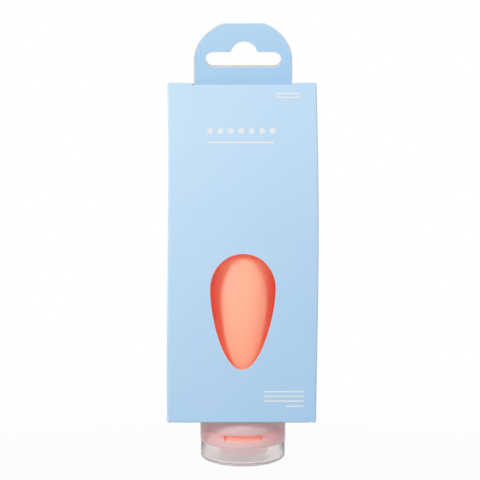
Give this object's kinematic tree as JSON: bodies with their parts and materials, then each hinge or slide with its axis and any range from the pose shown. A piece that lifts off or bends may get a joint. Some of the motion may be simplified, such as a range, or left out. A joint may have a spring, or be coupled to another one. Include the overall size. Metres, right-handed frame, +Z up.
{
  "type": "squeeze bottle",
  "caption": "Travel squeeze bottle of soft silicone with a flip cap, standing cap down in a windowed hanging carton that lifts off.",
  "frame": {"origin": "on the bottle's axis, in the flat face of the closed lid that the product stands on", "axes": "+Z up along the bottle's axis from the cap to the hang tab, -Y towards the viewer of the carton's window, +X to that viewer's right"},
  "size_m": [0.0634, 0.0448, 0.1889],
  "materials": {
    "silicone": "matt coral silicone",
    "frosted_plastic": "frosted translucent plastic",
    "coral_plastic": "satin coral plastic",
    "clear_plastic": "clear glossy plastic",
    "board": "pale blue matt coated board, white inside"
  },
  "bodies": {
    "bottle": {"bottle_body": "silicone"},
    "valve": {"drip_valve": "silicone"},
    "cap": {"cap_base": "frosted_plastic", "collar_shell": "frosted_plastic"},
    "ring": {"label_ring": "coral_plastic"},
    "lid": {"flip_lid": "clear_plastic"},
    "carton": {"front_panel": "board", "back_panel": "board", "left_side_panel": "board", "right_side_panel": "board", "glue_flap": "board", "front_hem": "board", "back_hem": "board", "hang_tab_front": "board", "hang_tab_rear": "board"},
    "top_flap": {"top_flap": "board", "tuck_tongue": "board"},
    "dust_left": {"dust_flap_left": "board"},
    "dust_right": {"dust_flap_right": "board"},
    "bottom_left": {"bottom_flap_left": "board"},
    "bottom_right": {"bottom_flap_right": "board"}
  },
  "joints": [
    {"name": "cap_lift", "type": "slide", "parent": "bottle", "child": "valve", "axis": [0, 0, -1], "range_m": [0, 0.0045]},
    {"name": "cap_twist", "type": "hinge", "parent": "valve", "child": "cap", "pos_m": [0, 0, 0.0083], "axis": [0, 0, -1], "range_deg": [0, 540]},
    {"name": "ring_turn", "type": "hinge", "parent": "cap", "child": "ring", "pos_m": [0, 0, 0.0125], "axis": [0, 0, 1], "continuous": true},
    {"name": "lid_hinge", "type": "hinge", "parent": "cap", "child": "lid", "pos_m": [0, 0.021, 0.00815], "axis": [1, 0, 0], "range_deg": [0, 150]},
    {"name": "carton_lift", "type": "slide", "parent": "bottle", "child": "carton", "axis": [0, 0, 1], "range_m": [0, 0.15]},
    {"name": "top_flap_hinge", "type": "hinge", "parent": "carton", "child": "top_flap", "pos_m": [0, -0.02035, 0.16335], "axis": [1, 0, 0], "range_deg": [0, 85]},
    {"name": "dust_left_hinge", "type": "hinge", "parent": "carton", "child": "dust_left", "pos_m": [-0.03145, 0, 0.16255], "axis": [0, -1, 0], "range_deg": [0, 85]},
    {"name": "dust_right_hinge", "type": "hinge", "parent": "carton", "child": "dust_right", "pos_m": [0.03145, 0, 0.16255], "axis": [0, 1, 0], "range_deg": [0, 85]},
    {"name": "bottom_left_hinge", "type": "hinge", "parent": "carton", "child": "bottom_left", "pos_m": [-0.03145, 0, 0.02005], "axis": [0, 1, 0], "range_deg": [0, 85]},
    {"name": "bottom_right_hinge", "type": "hinge", "parent": "carton", "child": "bottom_right", "pos_m": [0.03145, 0, 0.02005], "axis": [0, -1, 0], "range_deg": [0, 85]}
  ],
  "couplings": [
    {"joint": "cap_twist", "follows": "cap_lift", "rad_per_m": 2094.4},
    {"joint": "dust_left_hinge", "follows": "top_flap_hinge", "ratio": 1},
    {"joint": "dust_right_hinge", "follows": "top_flap_hinge", "ratio": 1}
  ]
}
